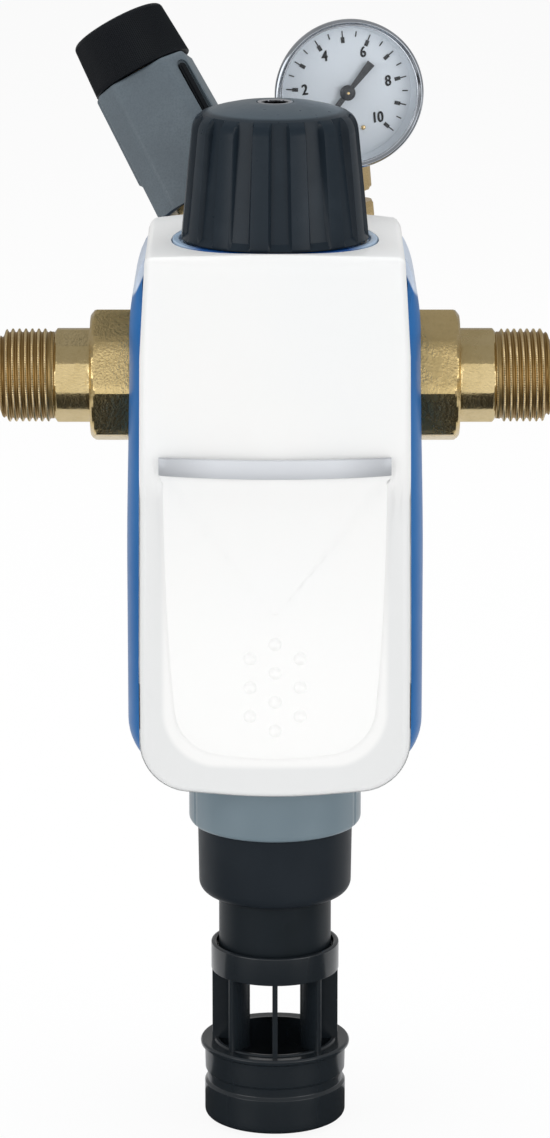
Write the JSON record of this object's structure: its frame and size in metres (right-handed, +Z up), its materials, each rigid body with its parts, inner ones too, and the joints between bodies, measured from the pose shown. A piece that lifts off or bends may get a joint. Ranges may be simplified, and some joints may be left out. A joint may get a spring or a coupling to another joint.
{
  "type": "self cleaning water filter station",
  "caption": "Backwash filter with white front cover, rotary knob, leaning pressure reducer, pressure gauge, brass pipe unions and an open drain funnel with air gap.",
  "frame": {"origin": "middle of the pipe's axis, between the two union nuts", "axes": "X along the pipe from the inlet to the outlet, Y to the wall behind, Z up; the cover faces -Y"},
  "size_m": [0.1962, 0.1497, 0.3912],
  "materials": {
    "brass": "machined, slightly dull",
    "white_plastic": "satin gloss moulded",
    "blue_plastic": "gloss moulded",
    "silver_trim": "silver lacquer",
    "anthracite_plastic": "satin moulded",
    "black_plastic": "satin moulded",
    "grey_plastic": "fine textured",
    "collar_grey": "satin",
    "inner_plastic": "natural moulded",
    "clear_plastic": "clear moulded",
    "dial_white": "matt printed",
    "pointer_black": "matt",
    "steel": "machined",
    "steel_mesh": "woven wire",
    "rubber": "matt"
  },
  "bodies": {
    "station": {"bourdon_tube": "brass", "bowl_o_ring": "rubber", "check_valve_cage": "inner_plastic", "check_valve_spring": "steel", "collar_ring": "collar_grey", "connection_body": "brass", "drain_cup": "anthracite_plastic", "drain_funnel": "anthracite_plastic", "drain_pipe": "anthracite_plastic", "drain_valve_seat": "brass", "filter_bowl": "clear_plastic", "filter_head": "brass", "flange_bolt_1": "steel", "flange_bolt_2": "steel", "flange_bolt_3": "steel", "flange_bolt_4": "steel", "flange_gasket": "rubber", "front_cover": "white_plastic", "gauge_adapter": "brass", "gauge_bezel": "steel", "gauge_case": "steel", "gauge_dial": "dial_white", "gauge_link": "brass", "gauge_shank": "brass", "gauge_window": "clear_plastic", "inlet_gasket": "rubber", "inlet_tailpiece": "brass", "inlet_union_nut": "brass", "lower_spring_plate": "steel", "movement_plate": "brass", "outlet_gasket": "rubber", "outlet_tailpiece": "brass", "outlet_union_nut": "brass", "rear_shell": "blue_plastic", "reducer_body": "brass", "reducer_diaphragm": "rubber", "reducer_hood": "grey_plastic", "reducer_spring": "steel", "seat_ring": "blue_plastic", "sieve_cage": "inner_plastic", "sieve_mesh": "steel_mesh", "spindle_bonnet": "brass", "trim_bar": "silver_trim"},
    "knob": {"knob": "anthracite_plastic", "knob_insert": "steel", "spindle": "brass", "spindle_o_ring": "rubber", "suction_rotor": "inner_plastic"},
    "drain_plug": {"drain_plug": "brass", "drain_plug_seal": "rubber"},
    "reducer_grip": {"reducer_grip": "black_plastic", "adjusting_screw": "brass"},
    "spring_plate": {"spring_plate": "brass"},
    "reducer_valve": {"reducer_valve": "brass"},
    "gauge_pointer": {"gauge_pointer": "pointer_black", "gauge_pinion": "brass"},
    "gauge_sector": {"gauge_sector": "brass"},
    "check_valve_poppet": {"check_valve_poppet": "inner_plastic"}
  },
  "joints": [
    {"name": "knob_turn", "type": "hinge", "parent": "station", "child": "knob", "pos_m": [0, -0.045, 0.08], "axis": [0, 0, 1], "range_deg": [0, 360]},
    {"name": "drain_plug_lift", "type": "slide", "parent": "station", "child": "drain_plug", "axis": [0, 0, 1], "range_m": [-0.006, 0]},
    {"name": "grip_turn", "type": "hinge", "parent": "station", "child": "reducer_grip", "pos_m": [-0.05065, 0.03583, 0.10898], "axis": [-0.4704, 0.2756, 0.8383], "range_deg": [-1080, 540]},
    {"name": "spring_plate_slide", "type": "slide", "parent": "station", "child": "spring_plate", "axis": [-0.4704, 0.2756, 0.8383], "range_m": [-0.00525, 0.00263], "deforming": ["reducer_spring"]},
    {"name": "reducer_valve_slide", "type": "slide", "parent": "station", "child": "reducer_valve", "axis": [-0.4704, 0.2756, 0.8383], "range_m": [-0.0015, 0.0015], "stiffness_N_per_m": 2000},
    {"name": "gauge_pointer_turn", "type": "hinge", "parent": "station", "child": "gauge_pointer", "pos_m": [0.0255, 0.009, 0.1003], "axis": [0.1564, -0.9877, 0], "range_deg": [-91.3, 178.7]},
    {"name": "gauge_sector_turn", "type": "hinge", "parent": "station", "child": "gauge_sector", "pos_m": [0.02662, 0.00918, 0.08735], "axis": [0.1564, -0.9877, 0], "range_deg": [-22.33, 11.4], "stiffness_Nm_per_rad": 0.01},
    {"name": "check_valve_slide", "type": "slide", "parent": "station", "child": "check_valve_poppet", "axis": [1, 0, 0], "range_m": [0, 0.005], "stiffness_N_per_m": 300, "deforming": ["check_valve_spring"]}
  ],
  "couplings": [
    {"joint": "drain_plug_lift", "follows": "knob_turn", "m_per_rad": -0.00095493},
    {"joint": "spring_plate_slide", "follows": "grip_turn", "m_per_rad": 0.00027852},
    {"joint": "gauge_pointer_turn", "follows": "gauge_sector_turn", "ratio": -8}
  ]
}
